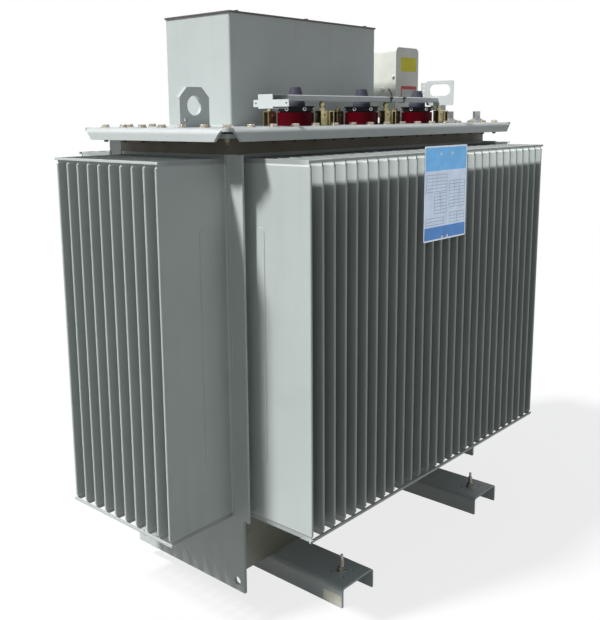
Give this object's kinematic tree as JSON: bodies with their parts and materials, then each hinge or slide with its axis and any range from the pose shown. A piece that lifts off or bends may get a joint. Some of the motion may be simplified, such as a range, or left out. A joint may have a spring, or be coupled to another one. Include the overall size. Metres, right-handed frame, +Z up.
{
  "type": "oil distribution transformer",
  "caption": "Sealed oil distribution transformer with corrugated cooling walls, bolted lid, capped plug-in bushings, cable box and relay, on two skids.",
  "frame": {"origin": "middle of the footprint, on the ground", "axes": "+Z up, X along the long side, -Y out of the side with the rating plate"},
  "size_m": [1.582, 0.852, 1.507],
  "materials": {
    "tank_paint": "satin grey paint",
    "lid_paint": "satin grey paint",
    "tray_paint": "satin grey paint in shade of the fins",
    "skid_paint": "darker grey paint",
    "zinc": "yellow passivated zinc",
    "gasket_rubber": "matt",
    "resin": "dark red cast resin",
    "flange_black": "black paint",
    "cap_rubber": "matt dark grey",
    "bar_paint": "light grey paint",
    "end_paint": "pale grey paint",
    "relay_plastic": "moulded cream plastic",
    "relay_cover": "moulded grey plastic",
    "fitting_steel": "bare steel",
    "plate_face": "printed sheet"
  },
  "bodies": {
    "root": {"tank_body": "tank_paint", "tank_tray": "tray_paint", "front_panel": "tank_paint", "rear_panel": "tank_paint", "left_panel": "tank_paint", "right_panel": "tank_paint", "front_fin_bars": "tank_paint", "rear_fin_bars": "tank_paint", "left_fin_bars": "tank_paint", "right_fin_bars": "tank_paint", "left_tow_plate": "tank_paint", "right_tow_plate": "tank_paint", "left_skid": "skid_paint", "right_skid": "skid_paint", "left_roller_studs": "zinc", "right_roller_studs": "zinc", "tank_collar": "tank_paint", "rim_flange": "tank_paint", "lid_gasket": "gasket_rubber", "lid": "lid_paint", "left_lifting_lug": "lid_paint", "right_lifting_lug": "lid_paint", "lv_box": "tank_paint", "lv_box_cover": "lid_paint", "locking_bar": "bar_paint", "locking_bar_end": "end_paint", "locking_bar_handle": "end_paint", "relay_neck": "relay_plastic", "relay_body": "relay_plastic", "relay_front": "relay_cover", "filler_plug": "fitting_steel", "thermometer_pocket": "fitting_steel", "rating_plate": "plate_face", "left_bushing_base": "resin", "left_bushing_flange": "flange_black", "left_bushing_cap": "cap_rubber", "left_bushing_clamps": "zinc", "middle_bushing_base": "resin", "middle_bushing_flange": "flange_black", "middle_bushing_cap": "cap_rubber", "middle_bushing_clamps": "zinc", "right_bushing_base": "resin", "right_bushing_flange": "flange_black", "right_bushing_cap": "cap_rubber", "right_bushing_clamps": "zinc"}
  },
  "joints": []
}
